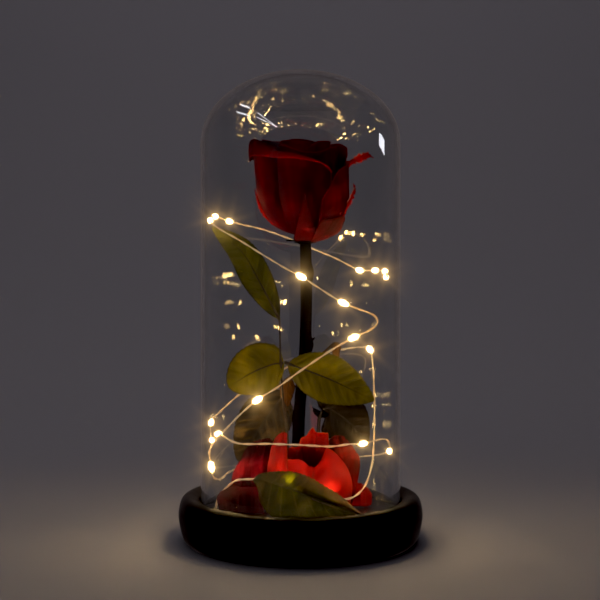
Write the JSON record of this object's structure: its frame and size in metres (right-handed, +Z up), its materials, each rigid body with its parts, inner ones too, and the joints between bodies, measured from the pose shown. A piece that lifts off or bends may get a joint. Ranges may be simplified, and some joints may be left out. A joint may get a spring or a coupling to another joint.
{
  "type": "preserved rose in glass dome",
  "caption": "Preserved red rose with leaves and fallen petals under a clear glass bell on a black wooden base, wound with fairy lights on copper wire.",
  "frame": {"origin": "centre of the base's underside", "axes": "+Z up along the bell's axis, front towards -Y, +X to the viewer's right"},
  "size_m": [0.12, 0.12, 0.2305],
  "materials": {
    "painted_wood": "black satin paint over turned wood",
    "glass": "clear, polished",
    "plastic": "fine moulded grain",
    "bark": "dried, matt",
    "stalk": "dried, satin",
    "petal": "soft preserved petal, velvety",
    "fallen_petal": "soft preserved petal, velvety",
    "leaf": "waxy, satin",
    "copper": "bright drawn copper wire",
    "light": "clear resin bead, lit"
  },
  "bodies": {
    "root": {"wooden_base": "painted_wood", "glass_dome": "glass", "battery_case": "plastic", "battery_lid": "plastic", "stem": "bark", "receptacle": "bark", "leaf_stalk": "stalk", "petal_right": "petal", "petal_right_rear": "petal", "petal_front": "petal", "petal_left": "petal", "petal_back": "petal", "petal_front_inner": "petal", "petal_left_inner": "petal", "petal_back_inner": "petal", "petal_right_inner": "petal", "petal_heart_1": "petal", "petal_heart_2": "petal", "petal_heart_3": "petal", "petal_heart_4": "petal", "petal_heart_rolled": "petal", "petal_guard": "petal", "petal_claw_upper": "petal", "petal_claw_lower": "petal", "fallen_petal_left": "fallen_petal", "fallen_petal_upright": "fallen_petal", "fallen_petal_front": "fallen_petal", "fallen_petal_middle": "fallen_petal", "fallen_petal_right": "fallen_petal", "fallen_petal_side": "fallen_petal", "fallen_petal_low": "fallen_petal", "leaflet_end": "leaf", "leaflet_left": "leaf", "leaflet_right": "leaf", "leaf_rear_left": "leaf", "leaf_rear_right": "leaf", "leaf_small_left": "leaf", "leaf_small_right": "leaf", "front_leaf": "leaf", "light_wire": "copper", "light_01": "light", "light_02": "light", "light_03": "light", "light_04": "light", "light_05": "light", "light_06": "light", "light_07": "light", "light_08": "light", "light_09": "light", "light_10": "light", "light_11": "light", "light_12": "light", "light_13": "light", "light_14": "light", "light_15": "light", "light_16": "light", "light_17": "light", "light_18": "light", "light_19": "light", "light_20": "light"}
  },
  "joints": []
}
